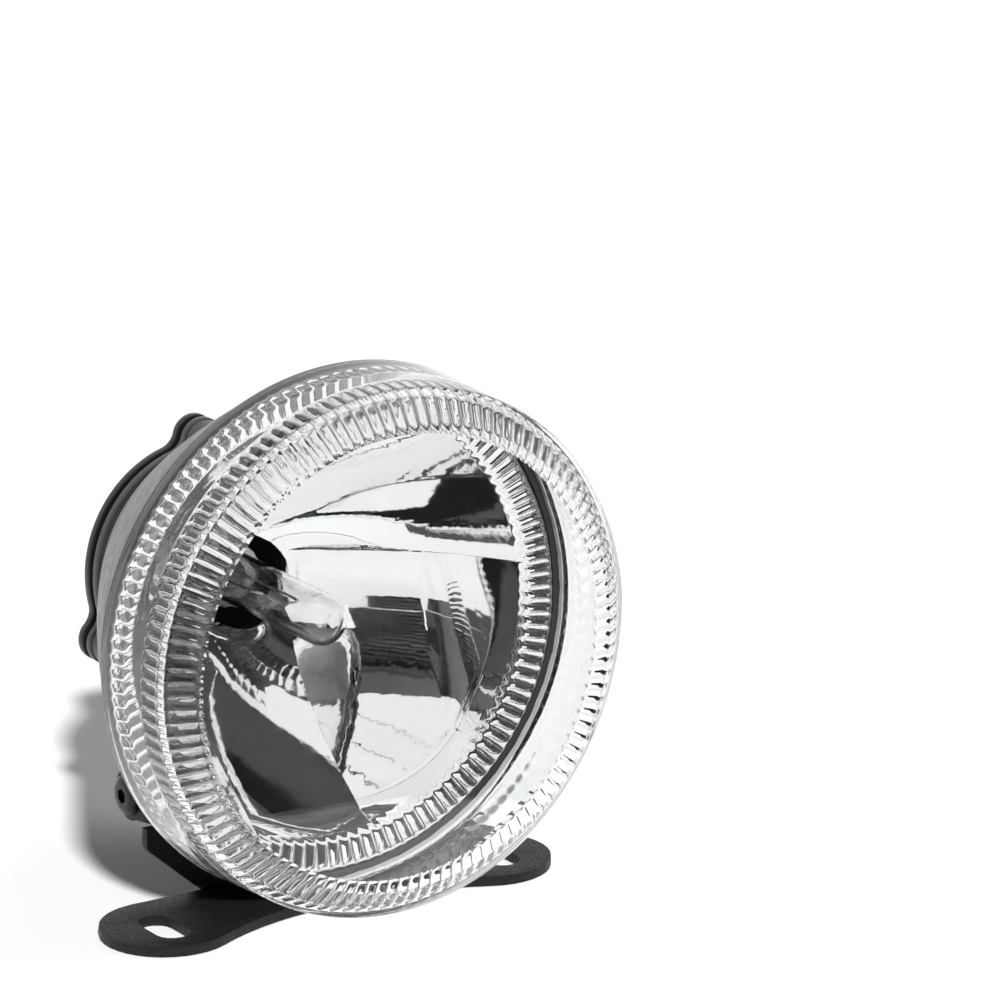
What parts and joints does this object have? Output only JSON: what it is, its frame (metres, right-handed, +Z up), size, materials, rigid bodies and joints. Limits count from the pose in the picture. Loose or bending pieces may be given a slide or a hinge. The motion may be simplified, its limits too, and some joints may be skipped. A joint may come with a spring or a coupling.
{
  "type": "fog light",
  "caption": "Round fog light with a clear fluted glass lens and a mirror reflector, tilting on a folded steel foot bracket, with a twist-out bulb at the rear.",
  "frame": {"origin": "on the foot's underside, on the lamp's middle plane, midway between the two foot slots", "axes": "+Z up from the foot to the lamp, the lens faces -Y, +X to the right of someone who looks at the lens"},
  "size_m": [0.11, 0.1097, 0.1135],
  "materials": {
    "coated_steel": "black textured powder coat",
    "lens_glass": "clear pressed glass",
    "sealant": "satin clear-grey silicone",
    "reflector_mirror": "bright metallised mirror",
    "shell_plastic": "satin dark grey",
    "rear_plastic": "satin black",
    "bulb_plastic": "satin black",
    "black_bolt": "black oxide",
    "plain_steel": "zinc plated",
    "brass": "plain",
    "rubber": "matt",
    "nylon": "matt",
    "bulb_glass": "clear quartz",
    "bulb_metal": "bright",
    "tungsten": "drawn wire"
  },
  "bodies": {
    "bracket": {"mounting_bracket": "coated_steel"},
    "lamp": {"lens": "lens_glass", "lens_seal": "sealant", "reflector": "reflector_mirror", "body_shell": "shell_plastic", "pivot_insert_left": "brass", "pivot_insert_right": "brass", "pivot_bolt_left": "black_bolt", "pivot_bolt_right": "black_bolt", "pivot_washer_left": "nylon", "pivot_washer_right": "nylon", "housing_gasket": "rubber", "rear_housing": "rear_plastic", "housing_insert_1": "brass", "housing_insert_2": "brass", "housing_insert_3": "brass", "housing_screw_1": "plain_steel", "housing_screw_2": "plain_steel", "housing_screw_3": "plain_steel", "vent_cap": "rubber"},
    "bulb": {"bulb_glass": "bulb_glass", "bulb_filament": "tungsten", "filament_support_long": "bulb_metal", "filament_support_short": "bulb_metal", "bulb_collar": "bulb_metal", "bulb_base": "bulb_plastic", "bulb_o_ring": "rubber", "bulb_terminal_left": "bulb_metal", "bulb_terminal_right": "bulb_metal"}
  },
  "joints": [
    {"name": "aim_tilt", "type": "hinge", "parent": "bracket", "child": "lamp", "pos_m": [0, 0.0248, 0.0213], "axis": [-1, 0, 0], "range_deg": [-2.5, 8]},
    {"name": "bulb_twist", "type": "hinge", "parent": "lamp", "child": "bulb", "pos_m": [0, 0.0456, 0.0585], "axis": [0, 1, 0], "range_deg": [0, 40]}
  ]
}
